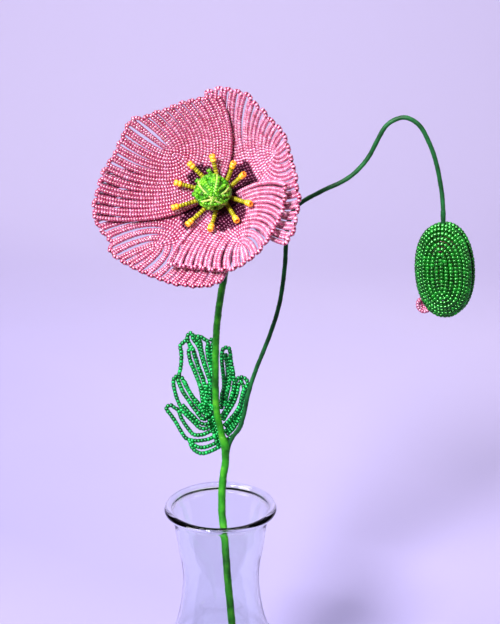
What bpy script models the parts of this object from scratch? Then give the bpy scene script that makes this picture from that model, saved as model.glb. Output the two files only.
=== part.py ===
"""A beaded poppy standing in a small glass carafe.

Wire-strung glass beads make four cupped petals round a beaded seed pod, with ten stamens.
The taped wire stem carries a leaf and an arching side stem with a closed bud, and it leans
on the back of the carafe's neck with its foot on the glass floor.
Metres, +Z up, origin at the middle of the carafe's flat base; the bloom faces -Y.
"""
import math

import bmesh
import bpy
from mathutils import Matrix, Vector

# Driving dimensions, in metres.
LIP_BASE = 0.160
CARAFE_HEIGHT = 0.162
LIP_RADIUS = 0.030
CARAFE_SIDES = 40
TOUCH_GAP = 0.0003
BEAD = 0.0021

STEM_RADIUS = 0.00185
STEM_BORE = 0.00125
WIRE_RADIUS = 0.0008
BUD_STEM_RADIUS = 0.0011

POD_CENTRE = Vector((-0.0018, -0.0300, LIP_BASE + 0.1805))
POD_HEIGHT = 0.012
POD_RADIUS = 0.0086
BLOOM_AXIS = Vector((-0.301, -0.900, 0.315)).normalized()
BOWL_RADIUS = 0.052
BOWL_DEPTH = 0.034
BOWL_POWER = 1.7
LAYER_GAP = 0.0028
RUFFLE_DEPTH = 0.0012
RUFFLE_WAVES = 7
PETAL_HALF_WIDTH = 0.0430
PETAL_BASE = 0.0040

STAMENS = ((94, 17.0), (136, 17.5), (171, 18.5), (205, 19.5), (236, 18.5),
           (271, 18.0), (310, 17.0), (348, 18.5), (33, 17.5), (58, 17.0))
FILAMENT_RADIUS = 0.00105
ANTHER_RADIUS = 0.0016
POD_LOOPS = (114, 153, 188)

BUD_CENTRE = Vector((0.1140, -0.0015, LIP_BASE + 0.133))
BUD_TURN = math.radians(-16)
BUD_HALF = Vector((0.0146, 0.0108, 0.0258))
BUD_SEAM = 0.0016

# The wire routes, foot to tip.
H = LIP_BASE
MAIN_ROUTE = [
    (0.0120, -0.0160, 0.0085), (0.0058, 0.0020, H - 0.0720), (0.0036, 0.0080, H - 0.0480),
    (0.0018, 0.0155, H - 0.0260), (0.0003, 0.0200, H - 0.0120), (0.0007, 0.0228, H + 0.0040),
    (0.0024, 0.0245, H + 0.0170), (0.0015, 0.0250, H + 0.0262), (-0.0001, 0.0250, H + 0.0345),
    (-0.0026, 0.0250, H + 0.0500), (-0.0024, 0.0230, H + 0.0845), (-0.0006, 0.0180, H + 0.1060),
    (0.0030, 0.0110, H + 0.1290), (0.0064, 0.0075, H + 0.1480), (0.0082, 0.0048, H + 0.1600),
    (0.0085, 0.0012, H + 0.1682), (0.0066, -0.0049, H + 0.1716),
]
BUD_ROUTE = [
    (0.0050, 0.0252, H + 0.0235), (0.0058, 0.0250, H + 0.0270), (0.0075, 0.0243, H + 0.0312),
    (0.0102, 0.0235, H + 0.0370), (0.0124, 0.0225, H + 0.0440), (0.0148, 0.0210, H + 0.0568),
    (0.0186, 0.0195, H + 0.0706),
    (0.0263, 0.0180, H + 0.0920), (0.0312, 0.0160, H + 0.1100), (0.0337, 0.0145, H + 0.1300),
    (0.0345, 0.0130, H + 0.1480), (0.0362, 0.0125, H + 0.1570), (0.0405, 0.0120, H + 0.1640),
    (0.0511, 0.0100, H + 0.1710), (0.0634, 0.0080, H + 0.1776), (0.0705, 0.0068, H + 0.1840),
    (0.0754, 0.0060, H + 0.1910), (0.0822, 0.0040, H + 0.2050), (0.0893, 0.0030, H + 0.2098),
    (0.0953, 0.0020, H + 0.2090), (0.1006, 0.0010, H + 0.2040), (0.1063, 0.0000, H + 0.1920),
    (0.1098, -0.0005, H + 0.1790), (0.1117, -0.0010, H + 0.1670), (0.1124, -0.0010, H + 0.1540),
]
LEAF_RIB = [(0.0004, 0.0300, H + 0.0215), (-0.0022, 0.0305, H + 0.0330),
            (-0.0060, 0.0315, H + 0.0470), (-0.0085, 0.0330, H + 0.0600)]
LEAF_FINGERS = [
    ((-0.0085, 0.0330, H + 0.0600), (-0.0113, 0.0350, H + 0.0760), (-0.0142, 0.0370, H + 0.0850)),
    ((-0.0078, 0.0326, H + 0.0560), (-0.0160, 0.0345, H + 0.0700), (-0.0213, 0.0360, H + 0.0800)),
    ((-0.0062, 0.0318, H + 0.0490), (-0.0165, 0.0330, H + 0.0560), (-0.0243, 0.0340, H + 0.0625)),
    ((-0.0040, 0.0310, H + 0.0400), (-0.0170, 0.0318, H + 0.0400), (-0.0290, 0.0320, H + 0.0440)),
    ((-0.0015, 0.0305, H + 0.0300), (-0.0120, 0.0300, H + 0.0240), (-0.0200, 0.0295, H + 0.0205)),
    ((-0.0078, 0.0328, H + 0.0560), (-0.0020, 0.0345, H + 0.0680), (0.0030, 0.0360, H + 0.0765)),
    ((-0.0055, 0.0318, H + 0.0460), (0.0045, 0.0332, H + 0.0540), (0.0120, 0.0340, H + 0.0590)),
    ((-0.0025, 0.0308, H + 0.0340), (0.0060, 0.0310, H + 0.0370), (0.0115, 0.0315, H + 0.0405)),
]
LEAF_FINGER_HALF_WIDTH = 0.0027


def srgb(code):
    """Turn a hex colour such as 2E8B57 into linear RGBA."""
    values = [int(code[i:i + 2], 16) / 255 for i in (0, 2, 4)]
    return [v / 12.92 if v <= 0.04045 else ((v + 0.055) / 1.055) ** 2.4 for v in values] + [1.0]


def material(name, code, roughness, transmission=0.0):
    """Make a plain Principled material."""
    made = bpy.data.materials.new(name)
    made.use_nodes = True
    shader = made.node_tree.nodes["Principled BSDF"]
    shader.inputs["Base Color"].default_value = srgb(code)
    shader.inputs["Roughness"].default_value = roughness
    shader.inputs["Transmission Weight"].default_value = transmission
    return made


def add_object(name, mesh_data, finish, parent=None):
    """Link a new object for a bmesh, with its normals made to point out."""
    bmesh.ops.recalc_face_normals(mesh_data, faces=mesh_data.faces)
    mesh = bpy.data.meshes.new(name)
    mesh_data.to_mesh(mesh)
    mesh_data.free()
    mesh.materials.append(finish)
    mesh.shade_smooth()
    mesh.set_sharp_from_angle(angle=math.radians(40))
    made = bpy.data.objects.new(name, mesh)
    bpy.context.collection.objects.link(made)
    made.parent = parent
    return made


def loft(name, rings, finish, parent=None, closed=False):
    """Skin a row of equal rings; the ends are capped, or joined when closed is set."""
    built = bmesh.new()
    rows = [[built.verts.new(point) for point in ring] for ring in rings]
    count = len(rings[0])
    pairs = list(zip(rows, rows[1:]))
    if closed:
        pairs.append((rows[-1], rows[0]))
    for low, high in pairs:
        for i in range(count):
            j = (i + 1) % count
            built.faces.new((low[i], low[j], high[j], high[i]))
    if not closed:
        built.faces.new(rows[0])
        built.faces.new(rows[-1])
    return add_object(name, built, finish, parent)


def smooth_path(points, spacing):
    """Read evenly spaced points from a Catmull-Rom curve through the given ones."""
    knots = [Vector(p) for p in points]
    padded = [knots[0] * 2 - knots[1]] + knots + [knots[-1] * 2 - knots[-2]]
    dense = []
    steps = 12
    for a, b, c, d in zip(padded, padded[1:], padded[2:], padded[3:]):
        for k in range(steps):
            t = k / steps
            dense.append(0.5 * (2 * b + (c - a) * t + (2 * a - 5 * b + 4 * c - d) * t * t
                                + (3 * b - a - 3 * c + d) * t ** 3))
    dense.append(knots[-1])
    lengths = [0.0]
    for a, b in zip(dense, dense[1:]):
        lengths.append(lengths[-1] + (b - a).length)
    count = max(2, round(lengths[-1] / spacing))
    even = []
    at = 0
    for k in range(count + 1):
        want = lengths[-1] * k / count
        while at < len(dense) - 2 and lengths[at + 1] < want:
            at += 1
        span = lengths[at + 1] - lengths[at]
        even.append(dense[at].lerp(dense[at + 1], (want - lengths[at]) / span))
    return even


def path_frames(path):
    """Give each path point its tangent and two side vectors that don't twist."""
    frames = []
    side = None
    for i, point in enumerate(path):
        along = (path[min(i + 1, len(path) - 1)] - path[max(i - 1, 0)]).normalized()
        if side is None:
            side = along.orthogonal().normalized()
        side = (side - along * side.dot(along)).normalized()
        frames.append((point, along, side, along.cross(side)))
    return frames


def circle_rings(path, radii, sides):
    """Rings of the given radii across a path."""
    rings = []
    for (point, _, side, up), radius in zip(path_frames(path), radii):
        turns = [math.tau * k / sides for k in range(sides)]
        rings.append([point + radius * (math.cos(t) * side + math.sin(t) * up) for t in turns])
    return rings


def rod(name, path, radius, sides, finish, parent=None):
    """A solid round rod along a path."""
    return loft(name, circle_rings(path, [radius] * len(path), sides), finish, parent)


def sleeve(name, path, outer, inner, sides, finish, parent=None):
    """A tube with an open bore along a path."""
    outside = circle_rings(path, outer, sides)
    inside = circle_rings(path, inner, sides)
    return loft(name, outside + inside[::-1], finish, parent, closed=True)


def turned(name, profile, sides, finish, parent=None, closed=False):
    """Turn (radius, height) points round Z."""
    rings = []
    for radius, height in profile:
        turns = [math.tau * k / sides for k in range(sides)]
        rings.append([Vector((radius * math.cos(t), radius * math.sin(t), height)) for t in turns])
    return loft(name, rings, finish, parent, closed)


def make_carafe(glass):
    """Waisted carafe with a rolled lip, in one wall from the base, over the lip, to the floor."""
    outside = [(0.0350, 0.0), (0.0366, 0.0030), (0.0390, 0.0200), (0.0400, 0.0420),
               (0.0378, 0.0620), (0.0318, 0.0770), (0.0255, 0.0890), (0.0223, 0.1020),
               (0.02075, 0.1170), (0.0213, 0.1280), (0.0230, 0.1370), (0.0248, 0.1500),
               (0.0258, 0.1548), (0.0277, 0.1565), (0.0293, 0.1573), (LIP_RADIUS, 0.1592),
               (0.0292, 0.1612)]
    inside = [(0.0277, CARAFE_HEIGHT), (0.0262, 0.1612), (0.0255, 0.1592), (0.0248, 0.1550),
              (0.0227, 0.1490),
              (0.0204, 0.1370), (0.0187, 0.1280), (0.0181, 0.1170), (0.0197, 0.1020),
              (0.0228, 0.0890), (0.0290, 0.0770), (0.0349, 0.0620), (0.0371, 0.0420),
              (0.0362, 0.0200), (0.0340, 0.0105), (0.0290, 0.0065)]
    return turned("glass_carafe", outside + inside, CARAFE_SIDES, glass)


def make_stem(tape, wire):
    """The main stem: a steel wire in a wound paper-tape sleeve, thicker below the fork."""
    route = smooth_path(MAIN_ROUTE, 0.0085)
    outer = [STEM_RADIUS + (0.00025 if point.z < H + 0.022 else 0.0) for point in route]
    sleeve("stem_tape", route, outer, [STEM_BORE] * len(route), 8, tape)
    rod("stem_wire", route, WIRE_RADIUS, 6, wire)


def make_fork(tape):
    """A short wrap that binds the side stem and the leaf's wire to the main stem."""
    main = smooth_path(MAIN_ROUTE, 0.0085)
    low = H + 0.0190
    band = [p for p in smooth_path(MAIN_ROUTE, 0.0035) if low <= p.z <= H + 0.0330]
    wrap = loft("fork_tape", fork_rings(band), tape)
    side = smooth_path(BUD_ROUTE, 0.006)
    cutters = [
        rod("cut_main", main, STEM_RADIUS + 0.00025 + TOUCH_GAP * 1.4, 10, tape),
        rod("cut_side", [side[0] - (side[1] - side[0]) * 0.06] + side, BUD_STEM_RADIUS + TOUCH_GAP * 1.4,
            8, tape),
    ]
    for cutter in cutters:
        cutter.hide_render = True
        cutter.display_type = "WIRE"
        cut = wrap.modifiers.new("bore", "BOOLEAN")
        cut.operation = "DIFFERENCE"
        cut.solver = "EXACT"
        cut.object = cutter


def fork_rings(band):
    """Oval rings round both stems, drawn in at each end."""
    rings = []
    last = len(band) - 1
    for i, point in enumerate(band):
        swell = 0.86 + 0.14 * math.sin(math.pi * i / last)
        centre = point + Vector((0.0019, 0.0, 0.0))
        turns = [math.tau * k / 14 for k in range(14)]
        rings.append([centre + Vector((0.0060 * swell * math.cos(t), 0.0038 * swell * math.sin(t), 0.0))
                      for t in turns])
    return rings


def make_bud_stem(tape):
    """The thin side stem: it climbs, runs out level, arches over and hangs the bud."""
    rod("bud_stem", smooth_path(BUD_ROUTE, 0.006), BUD_STEM_RADIUS, 8, tape)


def bowl_point(radius, angle, cup):
    """A point of the bloom's bowl, with soft waves that grow towards the rim."""
    rise = (radius / BOWL_RADIUS) ** BOWL_POWER
    wave = RUFFLE_DEPTH * (radius / BOWL_RADIUS) ** 3 * math.sin(RUFFLE_WAVES * angle)
    return Vector((radius * math.cos(angle), radius * math.sin(angle), cup * BOWL_DEPTH * rise + wave))


def bowl_normal(radius, angle, cup):
    """The bowl's unit normal on its open side."""
    step = 0.0002
    outward = bowl_point(radius + step, angle, cup) - bowl_point(radius, angle, cup)
    across = bowl_point(radius, angle + step / radius, cup) - bowl_point(radius, angle, cup)
    return outward.cross(across).normalized()


def make_petal(name, facing, rim, cup, layer, finish, parent):
    """A bead-thick shell: a broad oval that is cut off by the bloom's rim."""
    facing = math.radians(facing)
    wide = PETAL_HALF_WIDTH
    deep = rim - PETAL_BASE
    end_cos = wide ** 2 / (rim * deep + math.sqrt((rim * deep) ** 2 - (deep ** 2 - wide ** 2) * wide ** 2))
    start = math.radians(14)
    end = math.acos(end_cos)
    across = 16
    along = 9
    rings = []
    for k in range(along + 1):
        v = k / along
        turn = start + (end - start) * v
        edge = Vector((wide * math.sin(turn), rim - deep * math.cos(turn)))
        middle = PETAL_BASE + deep * v
        front = []
        back = []
        for i in range(across + 1):
            u = 2 * i / across - 1
            angle = facing + u * math.atan2(edge.x, edge.y)
            radius = middle + (edge.length - middle) * u * u
            normal = bowl_normal(radius, angle, cup)
            centre = bowl_point(radius, angle, cup) - normal * LAYER_GAP * layer
            front.append(centre + normal * BEAD / 2)
            back.append(centre - normal * BEAD / 2)
        rings.append(front + back[::-1])
    return loft(name, rings, finish, parent)


def make_bloom(frame, pink, lime, olive, amber, tape, wood):
    """Petals, pod and stamens, in the bloom's own frame with +Z along its axis."""
    make_petal("petal_inner_upper_left", 143, 0.0472, 1.00, 0, pink, frame)
    make_petal("petal_inner_lower_right", -52, 0.0430, 1.20, 0, pink, frame)
    make_petal("petal_outer_right", 32, 0.0478, 1.00, 1, pink, frame)
    make_petal("petal_outer_lower_left", -132, 0.0495, 1.00, 1, pink, frame)
    turned("pod_core", dome_profile(POD_RADIUS - BEAD * 0.5 - 0.0003, 0.0), 16, wood, frame)
    bpy.data.objects["pod_core"].location = (0, 0, POD_HEIGHT)
    shell = dome_profile(POD_RADIUS, 0.0030) + dome_profile(POD_RADIUS - BEAD * 0.5, 0.0030)[::-1]
    turned("pod_beading", shell, 20, lime, frame, closed=True).location = (0, 0, POD_HEIGHT)
    collar = [(0.0010, -0.0150), (0.0024, -0.0150), (0.0030, -0.0100), (0.0033, -0.0048),
              (0.0028, -0.0040), (0.0026, 0.0020), (0.0024, 0.0041), (0.0010, 0.0041)]
    turned("flower_neck", collar, 14, tape, frame)
    for number, (angle, reach) in enumerate(STAMENS, start=1):
        make_stamen(number, math.radians(angle), reach / 1000, frame, olive, amber)
    for number, angle in enumerate(POD_LOOPS, start=1):
        turn = math.radians(angle)
        out = Vector((math.cos(turn), math.sin(turn), 0))
        ends = [out * 0.0084 + Vector((0, 0, 0.0052)), out * 0.0120 + Vector((0, 0, 0.0076))]
        rod(f"pod_loop_{number}", smooth_path(ends, 0.0018), FILAMENT_RADIUS, 6, lime, frame)


def dome_profile(radius, hole):
    """Half a circle as turned points, from the hole at the bottom to just short of the top."""
    low = math.asin(hole / radius) if hole else 0.12
    top = math.pi - 0.05
    steps = 9
    turns = [low + (top - low) * k / steps for k in range(steps + 1)]
    return [(radius * math.sin(t), -radius * math.cos(t)) for t in turns]


def make_stamen(number, angle, reach, frame, olive, amber):
    """A bead-covered filament that curves forward, with a fat two-bead tip."""
    out = Vector((math.cos(angle), math.sin(angle), 0))
    tip_height = 0.0125
    root = out * 0.0044 + Vector((0, 0, 0.0032))
    bend = out * 0.0095 + Vector((0, 0, 0.0062))
    tip = out * reach + Vector((0, 0, tip_height))
    path = smooth_path([root, bend, tip], 0.0008)
    share = len(path) - 7
    rod(f"stamen_filament_{number}", path[:share:4] + [path[share]], FILAMENT_RADIUS, 6, olive, frame)
    start = path[share] + (path[-1] - path[share]).normalized() * TOUCH_GAP * 1.5
    run = path[-1] - start
    ball = [start + run * t for t in (0.0, 0.18, 0.5, 0.82, 1.0)]
    radii = [ANTHER_RADIUS * s for s in (0.45, 0.85, 1.0, 0.85, 0.45)]
    loft(f"anther_{number}", circle_rings(ball, radii, 8), amber, frame)


def make_leaf(green):
    """Looped bead fingers joined along a midrib; one wired piece."""
    rib = rod("leaf", smooth_path(LEAF_RIB, 0.006), BEAD / 2, 8, green)
    for number, points in enumerate(LEAF_FINGERS, start=1):
        path = smooth_path(points, 0.0055)
        rings = []
        last = len(path) - 1
        for i, (point, along, _, _) in enumerate(path_frames(path)):
            wide = along.cross(Vector((0, 1, 0))).normalized()
            thick = along.cross(wide)
            half = LEAF_FINGER_HALF_WIDTH * (0.45 if i == last else 0.8 if i in (0, last - 1) else 1.0)
            turns = [math.tau * (k + 0.5) / 8 for k in range(8)]
            rings.append([point + wide * half * math.cos(t) + thick * BEAD * 0.52 * math.sin(t)
                          for t in turns])
        finger = loft(f"leaf_finger_{number}", rings, green)
        finger.hide_render = True
        finger.display_type = "WIRE"
        join = rib.modifiers.new(f"finger_{number}", "BOOLEAN")
        join.operation = "UNION"
        join.solver = "EXACT"
        join.object = finger


def sepal_rings(side):
    """Rings of half an egg-shaped shell: outside, then back along the inside."""
    rings = []
    steps_up = 10
    steps_round = 10
    inner = BUD_HALF - Vector((BEAD, BEAD, BEAD))
    for k in range(steps_up + 1):
        t = math.radians(12 + 156 * k / steps_up)
        ring = []
        for half, order in ((BUD_HALF, 1), (inner, -1)):
            turns = [math.pi * i / steps_round for i in range(steps_round + 1)][::order]
            for turn in turns:
                x = half.x * math.sin(t) * math.cos(turn)
                y = (half.y - BUD_SEAM) * math.sin(t) * math.sin(turn) + BUD_SEAM
                ring.append(Vector((x, side * y, -half.z * math.cos(t))))
        rings.append(ring)
    return rings


def make_bud(green, pink, tape):
    """Two cupped bead sepals round a packed pink petal, which shows low down on the left."""
    frame = bpy.data.objects.new("bud_frame", None)
    bpy.context.collection.objects.link(frame)
    frame.location = BUD_CENTRE
    frame.rotation_euler.z = BUD_TURN
    loft("bud_sepal_front", sepal_rings(-1), green, frame)
    loft("bud_sepal_back", sepal_rings(1), green, frame)
    kernel = [(0.0098 * math.sin(t), -0.0185 * math.cos(t)) for t in
              [0.15 + (math.pi - 0.30) * k / 8 for k in range(9)]]
    packed = turned("bud_petal", kernel, 14, pink, frame)
    packed.scale = (1.0, 0.62, 1.0)
    nub_path = [Vector((-0.0020, 0, -0.0080)), Vector((-0.0060, 0, -0.0140)),
                Vector((-0.0105, 0, -0.0195)), Vector((-0.0125, 0, -0.0225))]
    rings = []
    for (point, _, _, _), half in zip(path_frames(nub_path), (0.0030, 0.0036, 0.0034, 0.0016)):
        turns = [math.tau * k / 8 for k in range(8)]
        rings.append([point + Vector((half * math.cos(t), 0.00125 * math.sin(t), half * 0.5 * math.cos(t)))
                      for t in turns])
    nub = loft("bud_petal_tongue", rings, pink, frame)
    nub.hide_render = True
    nub.display_type = "WIRE"
    join = packed.modifiers.new("tongue", "BOOLEAN")
    join.operation = "UNION"
    join.solver = "EXACT"
    join.object = nub
    top = [p for p in smooth_path(BUD_ROUTE, 0.0012) if H + 0.1600 <= p.z <= H + 0.1655 and p.x > 0.1]
    outer = [0.0021 + 0.0006 * math.sin(math.pi * i / (len(top) - 1)) for i in range(len(top))]
    sleeve("bud_collar", top, outer, [BUD_STEM_RADIUS + TOUCH_GAP * 1.6] * len(top), 10, tape)


def main():
    for old in list(bpy.data.objects):
        bpy.data.objects.remove(old)
    glass = material("clear soda-lime glass", "EEF2F4", 0.04, 1.0)
    tape = material("green floral tape", "1F6B2A", 0.65)
    wire = material("florist wire", "9A9C9E", 0.35)
    wire.node_tree.nodes["Principled BSDF"].inputs["Metallic"].default_value = 1.0
    pink = material("pink glass beads", "DB6E93", 0.25)
    lime = material("lime glass beads", "6EBC2E", 0.2)
    olive = material("olive glass beads", "8E9A12", 0.2)
    amber = material("amber glass beads", "FFB428", 0.15)
    leaf_green = material("emerald glass beads", "1C9A45", 0.15)
    bud_green = material("deep green glass beads", "0E7A1E", 0.15)
    wood = material("turned beech", "C9A36B", 0.6)

    make_carafe(glass)
    make_stem(tape, wire)
    make_fork(tape)
    make_bud_stem(tape)
    make_leaf(leaf_green)
    make_bud(bud_green, pink, tape)

    level = Vector((-BLOOM_AXIS.y, BLOOM_AXIS.x, 0)).normalized()
    upright = BLOOM_AXIS.cross(level)
    turn = Matrix((level, upright, BLOOM_AXIS)).transposed()
    bloom = bpy.data.objects.new("bloom_frame", None)
    bpy.context.collection.objects.link(bloom)
    bloom.matrix_world = Matrix.Translation(POD_CENTRE - BLOOM_AXIS * POD_HEIGHT) @ turn.to_4x4()
    make_bloom(bloom, pink, lime, olive, amber, tape, wood)


main()
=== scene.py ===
# %% [markdown]
# A poppy made of glass beads on wire, in a small glass carafe.
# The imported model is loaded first: it fixes where everything is and how big it is.
# This script then gives each part its real surface: beads on wire, wound paper tape, clear glass.

# %% Load the frame
import math

import bmesh
import bpy
import numpy as np
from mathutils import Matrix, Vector


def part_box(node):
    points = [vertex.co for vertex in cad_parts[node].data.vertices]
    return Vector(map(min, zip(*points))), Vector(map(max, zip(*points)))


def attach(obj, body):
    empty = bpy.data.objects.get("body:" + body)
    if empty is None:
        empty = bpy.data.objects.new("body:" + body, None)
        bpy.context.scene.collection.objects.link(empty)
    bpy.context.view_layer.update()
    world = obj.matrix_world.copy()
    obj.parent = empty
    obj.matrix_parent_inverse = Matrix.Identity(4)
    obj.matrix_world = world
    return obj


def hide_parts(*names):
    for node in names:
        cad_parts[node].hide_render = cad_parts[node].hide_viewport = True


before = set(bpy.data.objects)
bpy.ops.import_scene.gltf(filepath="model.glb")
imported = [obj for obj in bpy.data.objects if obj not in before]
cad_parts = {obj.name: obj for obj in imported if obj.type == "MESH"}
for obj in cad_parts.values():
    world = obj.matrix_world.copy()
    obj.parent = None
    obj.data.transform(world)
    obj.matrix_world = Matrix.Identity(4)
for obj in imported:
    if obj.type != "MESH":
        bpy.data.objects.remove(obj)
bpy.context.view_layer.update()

# %% [markdown]
# Lengths are in metres. The petals' beads are size 11/0 seed beads, 2.25 mm across, one every 1.4 mm
# of wire. H is the height just under the carafe's rim, and every place above it is given from there.

# %% Sizes
MM = 0.001
BEAD_WIDTH = 2.25 * MM
BEAD_STEP = 1.42 * MM
LIP_RISE = 2 * MM
CARAFE_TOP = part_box("glass_carafe")[1].z
H = CARAFE_TOP - LIP_RISE
BLOOM_AXIS = Vector((-0.301, -0.900, 0.315)).normalized()
POD_HEIGHT = 12 * MM
POD_LOW, POD_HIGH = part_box("pod_core")
POD_CENTRE = (POD_LOW + POD_HIGH) / 2
rng = np.random.default_rng(11)     # seeded, so every run gives the same beads
print("carafe height", round(CARAFE_TOP, 4), "pod centre", tuple(round(v, 4) for v in POD_CENTRE))

# %% [markdown]
# The camera stands in front, a little above the bloom, and looks down by about 18 degrees through
# a portrait lens, so the carafe's lower part falls outside the view.

# %% Camera
LOOK_DOWN = math.radians(18.4)
camera_data = bpy.data.cameras.new("portrait_camera")
camera_data.lens = 80
camera_data.clip_end = 20
camera = bpy.data.objects.new("portrait_camera", camera_data)
bpy.context.collection.objects.link(camera)
camera.location = (0.0158, -0.6719, H + 0.3341)
camera.rotation_euler = (math.pi / 2 - LOOK_DOWN, 0, 0)
bpy.context.scene.camera = camera
bpy.context.scene.view_settings.view_transform = "Standard"
print("camera at", tuple(round(v, 3) for v in camera.location))

# %% [markdown]
# Every colour is written as an sRGB hex value, as on a paint card, and one function turns it into
# the linear values that the shader mixes. One other function adds a node with its settings and links.
# An input is given by its name, or as i0, i1 where a node has two inputs of one name.

# %% Material helpers
def colour(code):
    """Linear RGBA for a hex colour."""
    values = [int(code[i:i + 2], 16) / 255 for i in (0, 2, 4)]
    return [v / 12.92 if v <= 0.04045 else ((v + 0.055) / 1.055) ** 2.4 for v in values] + [1.0]


def set_inputs(tree, node, **inputs):
    """Set a node's inputs by name, or link them where the value is another node's output."""
    for key, value in inputs.items():
        numbered = key[1:].isdigit()
        socket = node.inputs[int(key[1:]) if numbered else key.replace("_", " ")]
        if isinstance(value, bpy.types.NodeSocket):
            tree.links.new(value, socket)
        else:
            socket.default_value = value


def add_node(tree, kind, settings=None, **inputs):
    """Add a node, set its own fields, then set or link its inputs."""
    made = tree.nodes.new(kind)
    for key, value in (settings or {}).items():
        setattr(made, key, value)
    set_inputs(tree, made, **inputs)
    return made


def new_material(name):
    """A material with only a Principled shader."""
    made = bpy.data.materials.new(name)
    made.use_nodes = True
    tree = made.node_tree
    return made, tree, tree.nodes["Principled BSDF"]


def ramp(tree, factor, stops):
    """A colour ramp through (position, hex colour) stops."""
    made = add_node(tree, "ShaderNodeValToRGB", i0=factor)
    elements = made.color_ramp.elements
    while len(elements) < len(stops):
        elements.new(0.5)
    for element, (position, code) in zip(elements, stops):
        element.position = position
        element.color = colour(code)
    return made.outputs["Color"]


print("middle grey in linear values", round(colour("808080")[0], 3))

# %% [markdown]
# The floor and the wall behind it are one sheet of pale lilac paper that curves up, so no line
# shows behind the flower. It is a plane whose far edge is extruded up in small turning steps. Its
# front edge is just before the carafe, below the view, so the glass lip mirrors the dim room there.

# %% Paper sweep
SHEET_WIDTH = 4.0
SHEET_FRONT = -0.06
SHEET_BACK = 1.0
CURVE_RADIUS = 0.7
CURVE_STEPS = 12
WALL_HEIGHT = 1.8


def make_sweep():
    """A wide sheet on the floor that curves up behind the object."""
    bpy.ops.object.select_all(action="DESELECT")
    bpy.ops.mesh.primitive_plane_add(size=1, location=(0, 0, 0))
    sheet = bpy.context.object
    sheet.name = "paper_sweep"
    bpy.ops.object.mode_set(mode="EDIT")
    bpy.ops.mesh.select_all(action="SELECT")
    bpy.ops.transform.resize(value=(SHEET_WIDTH, SHEET_BACK - SHEET_FRONT, 1.0))
    bpy.ops.transform.translate(value=(0, (SHEET_BACK + SHEET_FRONT) / 2, 0))
    bpy.ops.mesh.select_all(action="DESELECT")
    shape = bmesh.from_edit_mesh(sheet.data)
    for edge in shape.edges:
        edge.select_set(all(v.co.y > 0.9 * SHEET_BACK for v in edge.verts))
    bmesh.update_edit_mesh(sheet.data)
    step = CURVE_RADIUS * math.pi / 2 / CURVE_STEPS
    for k in range(CURVE_STEPS):
        angle = math.pi / 2 * (k + 0.5) / CURVE_STEPS
        move = (0, step * math.cos(angle), step * math.sin(angle))
        bpy.ops.mesh.extrude_region_move(TRANSFORM_OT_translate={"value": move})
    bpy.ops.mesh.extrude_region_move(TRANSFORM_OT_translate={"value": (0, 0, WALL_HEIGHT)})
    bpy.ops.mesh.select_all(action="SELECT")
    bpy.ops.mesh.normals_make_consistent(inside=False)
    bpy.ops.object.mode_set(mode="OBJECT")
    bpy.ops.object.shade_smooth()
    sheet.data.materials.append(lilac_paper())
    return sheet


def lilac_paper():
    """Matt coated paper: no gloss, a soft cloudy tone, and a painted shade that makes it deeper lilac towards
    the left and front.
    """
    paper, tree, shader = new_material("matt lilac paper")
    place = add_node(tree, "ShaderNodeTexCoord").outputs["Object"]
    cloud = add_node(tree, "ShaderNodeTexNoise", Vector=place, Scale=2.6, Detail=3.0, Roughness=0.55)
    parts = add_node(tree, "ShaderNodeSeparateXYZ", Vector=place)
    # Painted shade: the paper is made darker towards the left and the front; the cloud adds its mottle.
    away = add_node(tree, "ShaderNodeMath", {"operation": "MULTIPLY_ADD"}, i0=parts.outputs["X"], i1=0.8,
                    i2=parts.outputs["Y"])
    painted_shade_tone = add_node(tree, "ShaderNodeMapRange", Value=away.outputs["Value"], From_Min=0.15, From_Max=1.0)
    shade = add_node(tree, "ShaderNodeMath", {"operation": "MULTIPLY_ADD"}, i0=cloud.outputs["Fac"], i1=0.18,
                     i2=painted_shade_tone.outputs["Result"])
    tone = ramp(tree, shade.outputs["Value"], [(0.08, "B2AADA"), (0.5, "CCC2EE"), (1.0, "D9CFF4")])
    set_inputs(tree, shader, Base_Color=tone, Roughness=0.95, Specular_IOR_Level=0.1)
    return paper


print("sweep faces", len(make_sweep().data.polygons))

# %% [markdown]
# The light comes from the left and the front: a big window-like panel, and a small strong box that
# puts one bright point on each bead. A weak panel on the right opens the shadows, one above lifts
# the rims and one lights the paper. The room is a dim grey-lilac, which the carafe's rolled lip
# picks up as its dark lines.

# %% Lights
def add_panel(name, place, aim, size, power, tint="FFFFFF"):
    """A square soft light at a place, turned to its aim."""
    light = bpy.data.lights.new(name, "AREA")
    light.shape = "RECTANGLE"
    light.size, light.size_y = size
    light.energy = power
    light.color = colour(tint)[:3]
    made = bpy.data.objects.new(name, light)
    bpy.context.collection.objects.link(made)
    made.location = place
    made.rotation_euler = (Vector(aim) - Vector(place)).to_track_quat("-Z", "Y").to_euler()
    return made


BLOOM_AIM = (0.02, -0.02, H + 0.15)
add_panel("window_left", (-1.10, -0.70, 0.95), BLOOM_AIM, (0.7, 0.9), 12.5, "FFFDFA")
add_panel("key_box", (-0.42, -0.85, 0.95), BLOOM_AIM, (0.26, 0.26), 25, "FFFAFF")
add_panel("panel_right", (1.30, -0.90, 0.60), BLOOM_AIM, (0.8, 0.8), 3, "F4F2FF")
add_panel("panel_above", (0.10, -0.10, 1.60), BLOOM_AIM, (0.9, 0.9), 4)
add_panel("sweep_light", (0.0, 0.35, 1.90), (0.0, 1.25, 0.45), (1.6, 0.6), 14)
world = bpy.data.worlds.new("studio")
world.use_nodes = True
set_inputs(world.node_tree, world.node_tree.nodes["Background"], Color=colour("B9B2CC"), Strength=0.09)
bpy.context.scene.world = world

# %% [markdown]
# Everything here follows a wire, so wires come first. A route is a smooth curve through a few
# points, read again at even steps. Each point also gets two side directions that don't twist,
# which is what a tube needs to follow the wire without a crease.

# %% Wire routes
SPAN_PARTS = 12


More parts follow.
